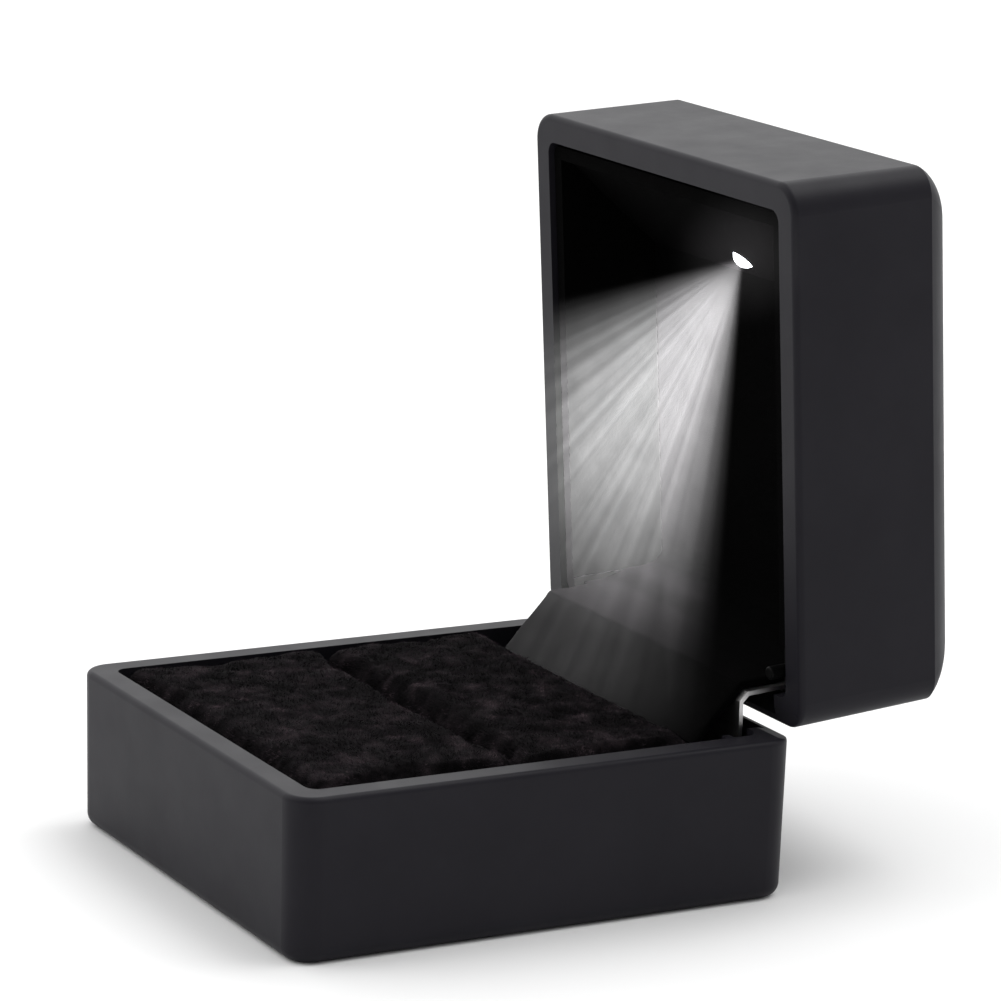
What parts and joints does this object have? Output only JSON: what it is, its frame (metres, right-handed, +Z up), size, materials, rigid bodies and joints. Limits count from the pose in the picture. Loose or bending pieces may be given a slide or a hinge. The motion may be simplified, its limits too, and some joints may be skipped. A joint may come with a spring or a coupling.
{
  "type": "ring box",
  "caption": "Square hinged ring box in matt black, padded with a slot for a ring, with a lamp in its lined lid.",
  "frame": {"origin": "centre of the base's underside", "axes": "+X along the hinge, -Y out of the front of the box, +Z up"},
  "size_m": [0.06, 0.0874, 0.0845],
  "materials": {
    "shell": "soft-touch rubber paint, matt black",
    "moulding": "plain moulded black",
    "velvet": "black velvet",
    "steel": "plated spring steel",
    "lens": "clear epoxy lamp, lit white",
    "contact": "tinned strip",
    "board": "green circuit board",
    "cell": "plated steel can",
    "flex": "amber film"
  },
  "bodies": {
    "base": {"base_shell": "shell", "pad_tray": "moulding", "front_ring_pad": "velvet", "rear_ring_pad": "velvet", "base_hinge_leaf": "steel", "base_hinge_pin": "steel", "base_hinge_screws": "steel"},
    "link": {"hinge_link": "steel", "hinge_cover": "velvet"},
    "lid": {"lid_shell": "shell", "lid_hinge_leaf": "steel", "lid_hinge_pin": "steel", "lid_hinge_screws": "steel", "lid_liner": "velvet", "lamp_lens": "lens", "lamp_leads": "contact", "lamp_board": "board", "board_screws": "steel", "coin_cell": "cell", "cell_holder": "moulding", "negative_contact": "contact", "positive_contact": "contact", "switch_body": "moulding", "switch_flex": "flex"},
    "plunger": {"switch_plunger": "moulding"}
  },
  "joints": [
    {"name": "base_hinge", "type": "hinge", "parent": "base", "child": "link", "pos_m": [0, 0.0301, 0.0134], "axis": [1, 0, 0], "range_deg": [0, 43]},
    {"name": "lid_hinge", "type": "hinge", "parent": "link", "child": "lid", "pos_m": [0, 0.03801, 0.02188], "axis": [1, 0, 0], "range_deg": [0, 43]},
    {"name": "switch_press", "type": "slide", "parent": "lid", "child": "plunger", "axis": [0, 0.9976, 0.0698], "range_m": [0, 0.001]}
  ],
  "couplings": [
    {"joint": "lid_hinge", "follows": "base_hinge", "ratio": 1},
    {"joint": "switch_press", "follows": "base_hinge", "m_per_rad": 0.001332}
  ]
}
